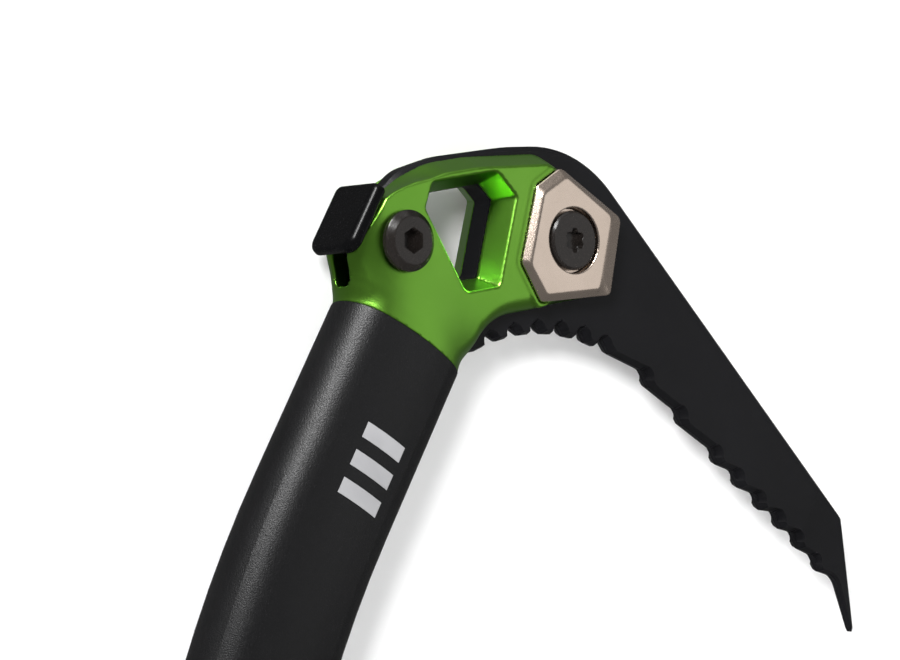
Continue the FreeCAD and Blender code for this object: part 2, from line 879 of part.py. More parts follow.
def shaft_oval(sketch, grow):
    """The tube's own oval, grown outwards by the same distance all round, on the grip's axis."""
    draw_oval(
        sketch,
        size("shaft_depth") + 2 * grow,
        size("shaft_width") + 2 * grow,
        size("shaft_nose_radius") + grow,
    )


def oval_ring(body, bottom, inner, outer, length):
    """Part of a sleeve round the tube: an oval ring from bottom upwards."""
    ring = new_sketch(body, "XY_Plane", bottom)
    shaft_oval(ring, outer)
    shaft_oval(ring, inner)
    return pad(body, ring, length, centred=False)


def make_grip_core():
    """The hard sleeve under the rubber: a thin shell, a flange at each end and the finger ledge."""
    body = new_body("grip_core")
    bottom = size("grip_bottom")
    top = bottom + size("grip_length")
    wall = size("core_wall")
    full = wall + size("rubber_wall")
    oval_ring(body, bottom, BOND, wall, "dimensions.grip_length")
    oval_ring(body, bottom, BOND, full, repr(GRIP_FLANGE))
    oval_ring(body, top - GRIP_FLANGE, BOND, full, repr(GRIP_FLANGE))
    ledge = new_sketch(body)
    front = size("shaft_depth") / 2 + wall
    reach = front + size("ledge_reach")
    draw_outline(
        ledge,
        [
            (front - 4.0, top - LEDGE_HEIGHT, 0),
            (front + 2.2, top - LEDGE_HEIGHT, 5.0),
            (front + 4.0, top - 8.5, 5.0),
            (reach, top - 9.5, 2.0),
            (reach + 0.5, top - 5.0, 2.2),
            (front + 5.0, top - 0.5, 7.0),
            (front - 4.0, top, 0),
        ],
    )
    pad(body, ledge, repr(LEDGE_WIDTH))
    tube = new_sketch(body, "XY_Plane", bottom)
    shaft_oval(tube, BOND)
    pocket(body, tube, "dimensions.grip_length", centred=False, backwards=True)
    body.Placement = GRIP_PLACE
    return body


def make_grip_sleeve():
    """The soft rubber between the flanges, with a notch round the finger ledge."""
    body = new_body("grip_sleeve")
    bottom = size("grip_bottom") + GRIP_FLANGE
    wall = size("core_wall")
    full = wall + size("rubber_wall")
    oval_ring(body, bottom, wall, full, "dimensions.grip_length - 2 * %r" % GRIP_FLANGE)
    notch = new_sketch(body)
    top = size("grip_bottom") + size("grip_length")
    front = size("shaft_depth") / 2
    notch_floor = top - LEDGE_HEIGHT - LEDGE_PLAY
    draw_outline(
        notch,
        [
            (front - 6.0, notch_floor, 0),
            (front + 9.0, notch_floor, 0),
            (front + 9.0, top + 4.0, 0),
            (front - 6.0, top + 4.0, 0),
        ],
    )
    pocket(body, notch, repr(LEDGE_WIDTH + LEDGE_PLAY))
    body.Placement = GRIP_PLACE
    return body


def make_upper_grip():
    """A thin rubber sleeve on the straight stretch above the main grip, for the other hand."""
    body = new_body("upper_grip")
    oval_ring(body, 0.0, BOND, size("upper_grip_wall"), "dimensions.upper_grip_length")
    turn = ROUTE_TURN - size("lower_bend_turn")
    centre = V(ROUTE_END.x, ROUTE_END.y, 0) - route_way(ROUTE_TURN) * size("grip_straight")
    hub = centre + route_side(ROUTE_TURN) * size("lower_bend_radius")
    start = hub - route_side(turn) * size("lower_bend_radius")
    start = start - route_way(turn) * 2.0
    lean = FreeCAD.Rotation(V(0, 1, 0), size("head_lean") - turn)
    body.Placement = FreeCAD.Placement(HEAD_TURN.multVec(V(start.x, 0, start.y)), lean)
    return body


# ---------------------------------------------------------------- spike end

PLUG_CAP = 1.8
TANG_DEPTH = 20.0
CLIP_HOLE = (0.5, -11.0)
PIN_SHORT = 0.7


def make_end_plug():
    """A plastic plug in the tube's end, with the slot for the spike's tang."""
    body = new_body("end_plug")
    cap = new_sketch(body, "XY_Plane", -PLUG_CAP)
    shaft_oval(cap, 0.0)
    pad(body, cap, repr(PLUG_CAP), centred=False)
    core = new_sketch(body, "XY_Plane", 0.0)
    shaft_oval(core, -size("shaft_wall") - BOND)
    pad(body, core, "dimensions.plug_length", centred=False)
    slot = new_sketch(body, "XY_Plane", -PLUG_CAP)
    half_width = size("spike_thickness") / 2 + BOND
    half_depth = TANG_DEPTH / 2 + BOND
    draw_outline(
        slot,
        [
            (half_depth, half_width, 0),
            (-half_depth, half_width, 0),
            (-half_depth, -half_width, 0),
            (half_depth, -half_width, 0),
        ],
    )
    pocket(body, slot, "dimensions.plug_length * 2", centred=False, backwards=True)
    drill_pin_holes(body)
    body.Placement = GRIP_PLACE
    return body


def drill_pin_holes(body):
    """The holes that the two cross pins run through."""
    holes = new_sketch(body)
    for x, z in PIN_PLACES:
        draw_circle(holes, x, z, "dimensions.pin_diameter")
    pocket(body, holes, "dimensions.shaft_width * 2")


def make_spike():
    """A steel plate: a tang in the plug, a clip hole and a three-sided point."""
    body = new_body("spike")
    tang = TANG_DEPTH / 2
    shoulder = -PLUG_CAP
    tip = shoulder - size("spike_length")
    plate = new_sketch(body)
    draw_outline(
        plate,
        [
            (-tang, size("plug_length") - 2.0, 2.0),
            (-tang, shoulder, 0),
            (-15.0, shoulder, 1.0),
            (-14.0, shoulder - 19.0, 7.0),
            (3.5, tip, 0.6),
            (8.5, tip, 0.6),
            (14.5, shoulder - 14.0, 6.0),
            (14.5, shoulder, 1.0),
            (tang, shoulder, 0),
            (tang, size("plug_length") - 2.0, 2.0),
        ],
    )
    pad(body, plate, "dimensions.spike_thickness")
    hole = new_sketch(body)
    draw_circle(hole, CLIP_HOLE[0], shoulder + CLIP_HOLE[1], "dimensions.clip_hole")
    pocket(body, hole, "dimensions.spike_thickness * 2")
    drill_pin_holes(body)
    body.Placement = GRIP_PLACE
    return body


def make_spike_pins():
    """Both cross pins, a little short of the tube's sides so that the pommel slides over them."""
    body = new_body("spike_pins")
    section = new_sketch(body)
    for x, z in PIN_PLACES:
        draw_circle(section, x, z, "dimensions.pin_diameter")
    pad(body, section, "dimensions.shaft_width - 2 * %r" % PIN_SHORT)
    body.Placement = GRIP_PLACE
    return body


# ---------------------------------------------------------------- pommel and its flip lock

SCREW_PLACE = 0.56
SCREW_PROUD = 0.8
WASHER_THICKNESS = 1.4
CAM_RADIUS = 4.6
CAM_GAP = 0.1
NUT_HEIGHT = 3.2
NUT_FLATS = 7.0
LEVER_TIP = 9.0
LEVER_THICKNESS = 3.0
LEVER_ROOM = 0.6


def make_pommel():
    """The sliding collar: a front ledge for the little finger and two ears behind a slit."""
    body = new_body("pommel")
    bottom = size("pommel_rest")
    top = bottom + size("pommel_height")
    gap = size("pommel_gap")
    outer = gap + size("pommel_wall")
    front = size("shaft_depth") / 2 + outer
    reach = front + size("pommel_ledge")
    oval_ring(body, bottom, gap, outer, "dimensions.pommel_height")
    ledge = new_sketch(body)
    draw_outline(
        ledge,
        [
            (front - 6.0, bottom, 0),
            (reach - 4.0, bottom, 5.0),
            (reach, bottom + 8.0, 2.5),
            (front + 7.0, bottom + 9.5, 9.0),
            (front + 1.0, top, 0.8),
            (front - 6.0, top, 0),
        ],
    )
    pad(body, ledge, "dimensions.pommel_ledge_width")
    rear = -size("shaft_depth") / 2 - gap - 1.0
    ears = new_sketch(body)
    draw_outline(
        ears,
        [
            (rear, top - 4.0, 0),
            (rear - size("ear_length"), top - 6.0, 2.5),
            (rear - size("ear_length"), bottom + 6.0, 2.5),
            (rear, bottom + 4.0, 0),
        ],
    )
    pad(body, ears, "dimensions.clamp_slit + 2 * dimensions.ear_thickness")
    slit = new_sketch(body)
    draw_outline(
        slit,
        [(-8.0, top + 5, 0), (-60.0, top + 5, 0), (-60.0, bottom - 5, 0), (-8.0, bottom - 5, 0)],
    )
    pocket(body, slit, "dimensions.clamp_slit")
    tube = new_sketch(body, "XY_Plane", bottom)
    shaft_oval(tube, gap)
    pocket(body, tube, "dimensions.pommel_height", centred=False, backwards=True)
    hole = new_sketch(body)
    draw_circle(hole, *screw_point(), "dimensions.screw_diameter + 0.2")
    pocket(body, hole, "dimensions.shaft_width * 2")
    body.Placement = GRIP_PLACE
    return body


def screw_point():
    """Where the clamp screw crosses the ears, in the grip frame's XZ plane."""
    x = -size("shaft_depth") / 2 - size("pommel_gap") - 1.0 - size("ear_length") * SCREW_PLACE
    return x, size("pommel_rest") + size("pommel_height") / 2


def ear_face():
    """The distance of an ear's outer face from the middle plane."""
    return size("clamp_slit") / 2 + size("ear_thickness")


def pivot_level():
    """The distance of the lever's pivot from the middle plane."""
    return ear_face() + WASHER_THICKNESS + CAM_RADIUS + CAM_GAP


def make_clamp_screw():
    """From the nut on the right, through both ears and the washer, into the pivot."""
    body = new_body("clamp_screw")
    x, z = screw_point()
    circle = new_sketch(body, "XY_Plane", -pivot_level())
    draw_circle(circle, 0, 0, "dimensions.screw_diameter")
    length = pivot_level() + ear_face() + NUT_HEIGHT + SCREW_PROUD
    pad(body, circle, repr(length), centred=False)
    body.Placement = across(GRIP_PLACE, x, z, 0.0, RIGHT)
    return body


def make_clamp_nut():
    """A hexagon nut on the right ear."""
    body = new_body("clamp_nut")
    x, z = screw_point()
    corner = NUT_FLATS / math.sqrt(3)
    section = new_sketch(body, "XY_Plane")
    angles = [math.radians(60 * i) for i in range(6)]
    draw_outline(section, [(corner * math.cos(a), corner * math.sin(a), 0) for a in angles])
    draw_circle(section, 0, 0, "dimensions.screw_diameter")
    pad(body, section, repr(NUT_HEIGHT), centred=False)
    body.Placement = across(GRIP_PLACE, x, z, ear_face(), RIGHT)
    return body


def make_cam_washer():
    """The washer that the cam presses against the left ear."""
    body = new_body("cam_washer")
    x, z = screw_point()
    section = new_sketch(body, "XY_Plane")
    draw_circle(section, 0, 0, "dimensions.washer_diameter")
    draw_circle(section, 0, 0, "dimensions.screw_diameter + 0.2")
    pad(body, section, repr(WASHER_THICKNESS), centred=False)
    body.Placement = across(GRIP_PLACE, x, z, ear_face(), LEFT)
    return body


def make_lever_pivot():
    """The barrel that the screw holds and the lever turns on, along the grip."""
    body = new_body("lever_pivot")
    x, z = screw_point()
    circle = new_sketch(body, "XY_Plane", z)
    draw_circle(circle, x, -pivot_level(), "dimensions.pivot_diameter")
    pad(body, circle, "dimensions.lever_width")
    bore = new_sketch(body)
    draw_circle(bore, x, z, "dimensions.screw_diameter")
    pocket(body, bore, repr(pivot_level()), centred=False, backwards=True)
    body.Placement = GRIP_PLACE
    return body


def make_cam_lever():
    """A forked cam on the pivot and a curved arm that lies along the pommel's left side."""
    body = new_body("cam_lever")
    x, z = screw_point()
    y = -pivot_level()
    outer = size("pommel_gap") + size("pommel_wall") + LEVER_ROOM
    half_width = size("shaft_width") / 2 + outer
    face = -half_width - LEVER_THICKNESS
    cam = new_sketch(body, "XY_Plane", z)
    cam_circle = "2 * %r" % CAM_RADIUS
    draw_circle(cam, x, y, cam_circle)
    pad(body, cam, "dimensions.lever_width")
    arm = new_sketch(body, "XY_Plane", z)
    draw_outline(
        arm,
        [
            (x, y + 1.5, 0),
            (x, y - CAM_RADIUS, 0),
            (-10.0, face, 12.0),
            (LEVER_TIP, face - 0.8, 1.4),
            (LEVER_TIP, -half_width - 0.2, 1.0),
            (-7.0, -half_width, 14.0),
            (x + 3.2, y + 1.5, 0),
        ],
    )
    pad(body, arm, "dimensions.lever_width")
    clear = new_sketch(body, "XY_Plane", z)
    slot = size("screw_diameter") / 2 + 0.3
    draw_outline(
        clear,
        [
            (x + slot, y - slot - 0.6, 0),
            (x + slot, y + 9.0, 0),
            (x - 9.0, y + 9.0, 0),
            (x - 9.0, y - slot - 0.6, 0),
        ],
    )
    pocket(body, clear, "dimensions.screw_diameter + 0.6")
    bore = new_sketch(body, "XY_Plane", z)
    draw_circle(bore, x, y, "dimensions.pivot_diameter + 2 * dimensions.pivot_clearance")
    pocket(body, bore, "dimensions.lever_width * 2")
    body.Placement = GRIP_PLACE
    return body


# ---------------------------------------------------------------- build, check and write


def check_objects():
    """Stop if any object failed; doc.recompute() does not raise."""
    for item in doc.Objects:
        if "Invalid" in item.State or "Error" in item.State:
            raise ValueError("object %s failed: %s" % (item.Name, item.getStatusString()))


def write_step(body):
    """Write one sub-part, after checking that its shape is a whole solid."""
    shape = body.Shape
    if shape.isNull() or not shape.isValid() or not shape.Solids:
        raise ValueError("sub-part %s has no valid shape" % body.Label)
    shape.exportStep("parts/%s.step" % body.Label)
    print("%-18s solids %d  volume %9.1f mm3" % (body.Label, len(shape.Solids), shape.Volume))


bodies = [
    make_shaft_tube(),
    make_head(),
    make_pick(),
    make_pick_weight(LEFT),
    make_pick_weight(RIGHT),
    make_hammer(),
    make_grip_core(),
    make_grip_sleeve(),
    make_upper_grip(),
    make_end_plug(),
    make_spike(),
    make_spike_pins(),
    make_pommel(),
    make_clamp_screw(),
    make_clamp_nut(),
    make_cam_washer(),
    make_lever_pivot(),
    make_cam_lever(),
]
bodies += make_head_screws()
doc.recompute()
check_objects()
os.makedirs("parts", exist_ok=True)
for body in bodies:
    write_step(body)
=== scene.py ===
"""Looks for the ice tool: materials, light, camera, and the pieces that replace plain CAD solids."""

import math

import bpy
import numpy as np
from mathutils import Matrix, Vector


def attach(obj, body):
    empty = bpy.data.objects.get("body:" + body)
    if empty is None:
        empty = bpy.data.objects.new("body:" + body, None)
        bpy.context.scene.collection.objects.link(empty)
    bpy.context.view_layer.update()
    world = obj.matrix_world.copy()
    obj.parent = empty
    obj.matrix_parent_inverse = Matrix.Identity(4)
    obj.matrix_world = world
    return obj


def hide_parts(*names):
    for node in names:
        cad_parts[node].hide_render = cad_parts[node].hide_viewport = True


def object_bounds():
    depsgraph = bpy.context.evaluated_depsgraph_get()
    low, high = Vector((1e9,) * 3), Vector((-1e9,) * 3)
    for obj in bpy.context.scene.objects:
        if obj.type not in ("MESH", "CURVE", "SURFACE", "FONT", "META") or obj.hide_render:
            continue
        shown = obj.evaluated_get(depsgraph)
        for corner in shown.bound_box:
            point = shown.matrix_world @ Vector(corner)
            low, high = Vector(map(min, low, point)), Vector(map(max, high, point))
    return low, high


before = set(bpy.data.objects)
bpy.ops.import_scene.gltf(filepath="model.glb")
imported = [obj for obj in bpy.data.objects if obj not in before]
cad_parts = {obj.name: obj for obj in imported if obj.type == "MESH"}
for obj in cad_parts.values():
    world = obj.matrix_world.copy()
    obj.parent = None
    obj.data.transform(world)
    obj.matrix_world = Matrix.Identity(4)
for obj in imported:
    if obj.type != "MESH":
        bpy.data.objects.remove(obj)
CAD_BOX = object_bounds()

MM = 0.001

# ---------------------------------------------------------------- local frames

# Head frame: x forward, z up along the top of the shaft, origin at the eye. It leans forward.
HEAD_LEAN = 29.2
# Grip frame: z up along the grip, origin at the tube's lower end, on its axis. The two bends of
# the shaft turn it from the head by SHAFT_TURN.
SHAFT_TURN = 40.0
GRIP_LEAN = math.radians(HEAD_LEAN - SHAFT_TURN)
GRIP_ORIGIN = (-37.49, 0.0, -399.53)

HEAD_FRAME = Matrix.Rotation(math.radians(HEAD_LEAN), 4, "Y")
GRIP_FRAME = Matrix.Translation(Vector(GRIP_ORIGIN) * MM) @ Matrix.Rotation(GRIP_LEAN, 4, "Y")

# ---------------------------------------------------------------- solid fields and their meshes


def smooth_step(value):
    """0 below 0, 1 above 1, smooth in between."""
    value = np.clip(value, 0.0, 1.0)
    return value * value * (3 - 2 * value)


def fade_down(z, start, length):
    """0 above start, 1 from a length below it."""
    return smooth_step((start - z) / length)


def meet(first, second, radius):
    """Intersection of two fields with the shared edge rounded."""
    inner = np.minimum(np.maximum(first, second), -radius)
    return inner + np.hypot(np.maximum(first + radius, 0), np.maximum(second + radius, 0))


def join(first, second, radius):
    """Union of two fields with a fillet where they meet."""
    return -meet(-first, -second, radius)


def cut(field, void, radius):
    """A field with a void taken out of it and the new edge rounded."""
    return meet(field, -void, radius)


def rounded_outline(corners, step=math.radians(3)):
    """Points along a closed outline of straight sides; a corner is (x, z, radius)."""
    points = []
    count = len(corners)
    for i in range(count):
        corner = Vector(corners[i][:2])
        radius = corners[i][2]
        back = (Vector(corners[i - 1][:2]) - corner).normalized()
        ahead = (Vector(corners[(i + 1) % count][:2]) - corner).normalized()
        if radius == 0:
            points.append(corner)
            continue
        half = back.angle(ahead) / 2
        centre = corner + (back + ahead).normalized() * (radius / math.sin(half))
        start = corner + back * (radius / math.tan(half)) - centre
        turn = math.pi - 2 * half
        if back.x * ahead.y - back.y * ahead.x > 0:
            turn = -turn
        pieces = max(2, int(abs(turn) / step) + 1)
        for k in range(pieces + 1):
            angle = turn * k / pieces
            c, s = math.cos(angle), math.sin(angle)
            points.append(centre + Vector((start.x * c - start.y * s, start.x * s + start.y * c)))
    return np.array([(p.x, p.y) for p in points])


def outline_distance(points, x, z):
    """Signed distance from a closed outline, negative inside."""
    nearest = np.full(np.broadcast(x, z).shape, 1e9)
    inside = np.zeros(nearest.shape, bool)
    for (ax, az), (bx, bz) in zip(points, np.roll(points, -1, axis=0)):
        dx, dz = bx - ax, bz - az
        length = dx * dx + dz * dz
        if length < 1e-12:
            continue
        along = np.clip(((x - ax) * dx + (z - az) * dz) / length, 0, 1)
        nearest = np.minimum(nearest, (x - ax - along * dx) ** 2 + (z - az - along * dz) ** 2)
        crosses = (az > z) != (bz > z)
        if az != bz:
            inside ^= crosses & (x < ax + (z - az) / dz * dx)
    return np.where(inside, -1.0, 1.0) * np.sqrt(nearest)


def oval_distance(x, y, depth, width, nose):
    """Signed distance from the shaft's oval: two flat sides of large radius and two noses."""
    nose_x = depth / 2 - nose
    half = width / 2
    side = (nose_x ** 2 + half ** 2 - nose ** 2) / (2 * (half - nose))
    ax, ay = np.abs(x), np.abs(y)
    in_nose = (ax - nose_x) * (side - half) > ay * nose_x
    return np.where(in_nose, np.hypot(ax - nose_x, ay) - nose, np.hypot(ax, ay + side - half) - side)


def surface_mesh(name, field, low, high, step, place):
    """Mesh the zero level of field(x, y, z), in mm, and put it in the row frame.

    One vertex goes in each cell that the surface crosses, and is then moved onto the surface.
    """
    axes = [np.arange(low[i] - step, high[i] + 2 * step, step) for i in range(3)]
    grid = field(axes[0][:, None, None], axes[1][None, :, None], axes[2][None, None, :])
    grid = np.broadcast_to(grid, [len(a) for a in axes])
    solid = grid < 0
    shape = [n - 1 for n in solid.shape]
    total = np.zeros(shape, np.int8)
    for i in (0, 1):
        for j in (0, 1):
            for k in (0, 1):
                total += solid[i:i + shape[0], j:j + shape[1], k:k + shape[2]]
    active = (total > 0) & (total < 8)
    index = np.full(shape, -1, np.int64)
    cells = np.argwhere(active)
    index[active] = np.arange(len(cells))
    points = np.stack([axes[i][cells[:, i]] + step / 2 for i in range(3)], axis=1)
    points = settle(field, points, step)
    quads = []
    for axis in range(3):
        ahead = [slice(None)] * 3
        behind = [slice(None)] * 3
        ahead[axis], behind[axis] = slice(1, None), slice(None, -1)
        change = solid[tuple(ahead)] != solid[tuple(behind)]
        found = np.argwhere(change)
        one, two = [a for a in range(3) if a != axis]
        inside = (found[:, one] > 0) & (found[:, two] > 0)
        found = found[inside]
        found = found[(found[:, one] < shape[one]) & (found[:, two] < shape[two])]
        corners = []
        for a, b in ((1, 1), (0, 1), (0, 0), (1, 0)):
            cell = found.copy()
            cell[:, one] -= a
            cell[:, two] -= b
            corners.append(index[cell[:, 0], cell[:, 1], cell[:, 2]])
        quad = np.stack(corners, axis=1)
        filled = solid[found[:, 0], found[:, 1], found[:, 2]]
        flip = filled if axis != 1 else ~filled
        quad[~flip] = quad[~flip][:, ::-1]
        quads.append(quad)
    faces = np.concatenate(quads)
    return mesh_object(name, points, faces.tolist(), place)


def slope(field, points):
    """The field's value and gradient at each point."""
    tiny = 0.01
    x, y, z = points.T
    value = field(x, y, z)
    moved = [(x + tiny, y, z), (x, y + tiny, z), (x, y, z + tiny)]
    back = [(x - tiny, y, z), (x, y - tiny, z), (x, y, z - tiny)]
    gradient = [(field(*a) - field(*b)) / (2 * tiny) for a, b in zip(moved, back)]
    return value, np.stack(gradient, axis=1)


def settle(field, points, step, rounds=4):
    """Move points onto the surface, never further than about a cell."""
    start = points.copy()
    for _ in range(rounds):
        value, gradient = slope(field, points)
        size = np.maximum((gradient ** 2).sum(1), 0.1)
        points = points - gradient * (value / size)[:, None]
        points = start + np.clip(points - start, -0.9 * step, 0.9 * step)
    return points


def mesh_object(name, points, faces, place):
    """A smooth-shaded mesh object from points in mm of a local frame."""
    mesh = bpy.data.meshes.new(name)
    mesh.from_pydata((np.asarray(points) * MM).tolist(), [], faces)
    mesh.transform(place)
    mesh.update()
    mesh.shade_smooth()
    piece = bpy.data.objects.new(name, mesh)
    bpy.context.scene.collection.objects.link(piece)
    return piece


def stand_in(piece, node, body, material):
    """A new piece that is shown instead of a CAD node."""
    piece.data.materials.append(material)
    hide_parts(node)
    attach(piece, body)
    return piece


# ---------------------------------------------------------------- materials


def new_material(name):
    """A node material and its shader."""
    material = bpy.data.materials.new(name)
    material.use_nodes = True
    return material, material.node_tree.nodes["Principled BSDF"]


def add_node(material, kind, **values):
    """A node with its inputs set by name."""
    node = material.node_tree.nodes.new(kind)
    for key, value in values.items():
        node.inputs[key.replace("_", " ")].default_value = value
    return node


def link(material, output, target):
    """Join an output to an input."""
    material.node_tree.links.new(output, target)


def noise(material, scale, detail=2.0, roughness=0.5):
    """Noise in the object's own coordinates; scale is per metre."""
    place = material.node_tree.nodes.new("ShaderNodeTexCoord")
    node = add_node(material, "ShaderNodeTexNoise", Scale=scale, Detail=detail, Roughness=roughness)
    link(material, place.outputs["Object"], node.inputs["Vector"])
    return node


def spread(material, source, low, high):
    """A number that follows a noise from low to high; the noise mostly stays within 0.3 to 0.7."""
    node = add_node(material, "ShaderNodeMapRange", From_Min=0.3, From_Max=0.7, To_Min=low, To_Max=high)
    link(material, source, node.inputs["Value"])
    return node.outputs["Result"]


def tint(material, factor, dark, light):
    """A colour between two, by a texture."""
    node = material.node_tree.nodes.new("ShaderNodeMix")
    node.data_type = "RGBA"
    link(material, factor, node.inputs["Factor"])
    node.inputs["A"].default_value = (*dark, 1)
    node.inputs["B"].default_value = (*light, 1)
    return node.outputs["Result"]


def shades(base, lighter):
    """A colour a little darker and a little lighter than the base."""
    return tuple(v * 0.85 for v in base), tuple(v * lighter for v in base)


def surface(material, shader, grain, cloud, tones, rough):
    """Colour that drifts between two tones in clouds, and roughness that follows the grain."""
    factor = spread(material, cloud.outputs["Fac"], 0, 1)
    link(material, tint(material, factor, *tones), shader.inputs["Base Color"])
    link(material, spread(material, grain.outputs["Fac"], *rough), shader.inputs["Roughness"])


def bump(material, shader, height, strength, distance, edge=0.0):
    """Fine relief, and optionally softened edges under it."""
    node = add_node(material, "ShaderNodeBump", Strength=strength, Distance=distance)
    link(material, height, node.inputs["Height"])
    if edge > 0:
        soft = add_node(material, "ShaderNodeBevel", Radius=edge)
        soft.samples = 6
        link(material, soft.outputs["Normal"], node.inputs["Normal"])
    link(material, node.outputs["Normal"], shader.inputs["Normal"])


GREEN_DEEP = (0.195, 0.50, 0.046)
GREEN_LIGHT = (0.228, 0.55, 0.060)


def anodised_green():
    """Bead-blasted aluminium under a clear green anodised layer."""
    material, shader = new_material("anodised_green")
    grain = noise(material, 5200, 2.0, 0.6)
    cloud = noise(material, 60, 3.0)
    surface(material, shader, grain, cloud, (GREEN_DEEP, GREEN_LIGHT), (0.28, 0.38))
    shader.inputs["Metallic"].default_value = 1.0
    shader.inputs["Coat Weight"].default_value = 0.25
    shader.inputs["Coat Roughness"].default_value = 0.32
    bump(material, shader, grain.outputs["Fac"], 0.35, 0.00006)
    return material


COAT_DARK = (0.004, 0.004, 0.0045)
COAT_LIGHT = (0.006, 0.006, 0.0065)


def powder_coat():
    """Black textured powder coat: fine pebbles that sparkle in the highlight."""
    material, shader = new_material("powder_coat")
    pebbles = noise(material, 3400, 2.0, 0.55)
    cloud = noise(material, 25, 3.0)
    surface(material, shader, pebbles, cloud, (COAT_DARK, COAT_LIGHT), (0.30, 0.50))
    shader.inputs["Specular IOR Level"].default_value = 0.3
    bump(material, shader, pebbles.outputs["Fac"], 0.55, 0.00012, 0.0004)
    return material


def black_oxide(name, base, rough, gloss, relief=0.2, edge=0.0):
    """Steel with a black or printed finish; base is its linear colour."""
    material, shader = new_material(name)
    shader.inputs["Specular IOR Level"].default_value = gloss
    grain = noise(material, 2600, 2.0, 0.55)
    cloud = noise(material, 40, 3.0)
    surface(material, shader, grain, cloud, shades(base, 1.15), rough)
    bump(material, shader, grain.outputs["Fac"], relief, 0.00006, edge)
    return material


def satin_steel(name, dark, light, rough, edge=0.0):
    """Bare steel with a fine brushed grain and faint colour clouds."""
    material, shader = new_material(name)
    grain = noise(material, 3000, 2.0, 0.6)
    cloud = noise(material, 90, 4.0, 0.6)
    surface(material, shader, grain, cloud, (dark, light), rough)
    shader.inputs["Metallic"].default_value = 1.0
    bump(material, shader, grain.outputs["Fac"], 0.25, 0.00005, edge)
    return material


def moulded(name, base, rough, scale=1800, relief=0.3):
    """Moulded plastic or rubber with a fine matt texture."""
    material, shader = new_material(name)
    grain = noise(material, scale, 3.0, 0.55)
    cloud = noise(material, 30, 3.0)
    surface(material, shader, grain, cloud, shades(base, 1.2), rough)
    bump(material, shader, grain.outputs["Fac"], relief, 0.0001)
    return material


GREEN = anodised_green()
COAT = powder_coat()
PICK_BLACK = black_oxide("pick_black", (0.005, 0.005, 0.006), (0.36, 0.46), 0.18, edge=0.00015)
SCREW_BLACK = black_oxide(
    "screw_black", (0.011, 0.009, 0.008), (0.20, 0.28), 0.4, relief=0.1, edge=0.00025
)
HAMMER_BLACK = black_oxide("hammer_black", (0.0022, 0.0022, 0.0025), (0.25, 0.28), 0.13, relief=0.01)
WEIGHT_STEEL = satin_steel("weight_steel", (0.83, 0.69, 0.58), (0.92, 0.765, 0.65), (0.23, 0.29))
BRIGHT_STEEL = satin_steel(
    "bright_steel", (0.52, 0.52, 0.53), (0.62, 0.62, 0.63), (0.24, 0.34), edge=0.0004
)
GRIP_BLACK = moulded("grip_plastic", (0.012, 0.012, 0.013), (0.40, 0.52))
RUBBER = moulded("grip_rubber", (0.016, 0.016, 0.017), (0.55, 0.70), scale=2400, relief=0.45)
POMMEL_BLACK = moulded("pommel_plastic", (0.013, 0.013, 0.014), (0.36, 0.48))

# ---------------------------------------------------------------- head

HEAD_HALF = 8.75
SLOT_HALF = 2.65
SLOT_FLOOR = -26.0
COLLAR_END = -28.8
BEVEL_DROP = 2.9
CREASE_ROUND = 0.45
EYE_INSET = 2.6
FRONT_ROUND = 3.75
REAR_FACE = -23.5
REAR_TUCK = 3.2
FRONT_FACE = 15.9
NECK_TOP = -19.0
NECK_REACH = -12.0
COLLAR_TRIM = 0.2
SHAFT_OFFSET = -0.8
SHAFT_DEPTH = 33.8
SHAFT_WIDTH = 21.2
SHAFT_NOSE = 9.6
REAR_BOLT = (-14.2, -12.1)
FRONT_BOLT = (25.9, 12.7)
BOLT_HOLE = 4.15
HOLE_EDGE = 0.1

# The sides start to swell at SWELL_TOP, by SWELL_RISE on the shaft's centre line.
SWELL_TOP = -8.0
SWELL_LENGTH = 20.8
SWELL_RISE = 1.75
SWELL_CURVE = 66.0

# The raised rim round the weight and the pocket that the weight sits in.
RIM_WIDTH = 1.6
RIM_RISE = 0.22
POCKET_GAP = 0.3
POCKET_DEPTH = 2.4

HEAD_OUTLINE = rounded_outline([
    (11.8, 27.6, 8.0),
    (-6.0, 15.3, 40.0),
    (-14.5, 8.2, 20.0),
    (-19.3, 1.5, 12.0),
    (REAR_FACE, -7.2, 4.0),
    (REAR_FACE, NECK_TOP, 0),
    (FRONT_FACE, NECK_TOP, 0),
    (FRONT_FACE, -13.3, 13.0),
    (42.4, 8.0, 1.2),
    (35.8, 24.6, 3.0),
    (19.2, 24.6, 0),
    (18.6, 28.0, 0.6),
])
EYE_OUTLINE = rounded_outline([
    (0.2, 15.2, 3.0),
    (-14.4, 3.0, 1.8),
    (-13.2, -3.2, 1.6),
    (5.6, -13.2, 2.2),
    (13.4, -7.0, 1.6),
    (7.9, 13.3, 1.3),
])
WEIGHT_FOOT = rounded_outline([
    (15.4, 25.6, 2.2),
    (11.4, 18.1, 1.6),
    (15.9, 0.9, 1.8),
    (25.2, -3.9, 1.4),
    (42.6, 8.4, 1.5),
    (36.9, 25.5, 2.0),
])
WEIGHT_TOP = rounded_outline([
    (17.2, 24.0, 1.6),
    (13.2, 16.8, 1.4),
    (17.5, 1.2, 1.6),
    (24.9, -2.2, 1.2),
    (38.0, 7.2, 1.2),
    (33.2, 23.6, 1.6),
])


def side_field(x, y, z):
    """The head's flat sides, which swell towards the collar to the curve of the shaft's sides."""
    swell = fade_down(z, SWELL_TOP, SWELL_LENGTH)
    return np.abs(y) - HEAD_HALF - swell * (SWELL_RISE - (x - SHAFT_OFFSET) ** 2 / SWELL_CURVE)


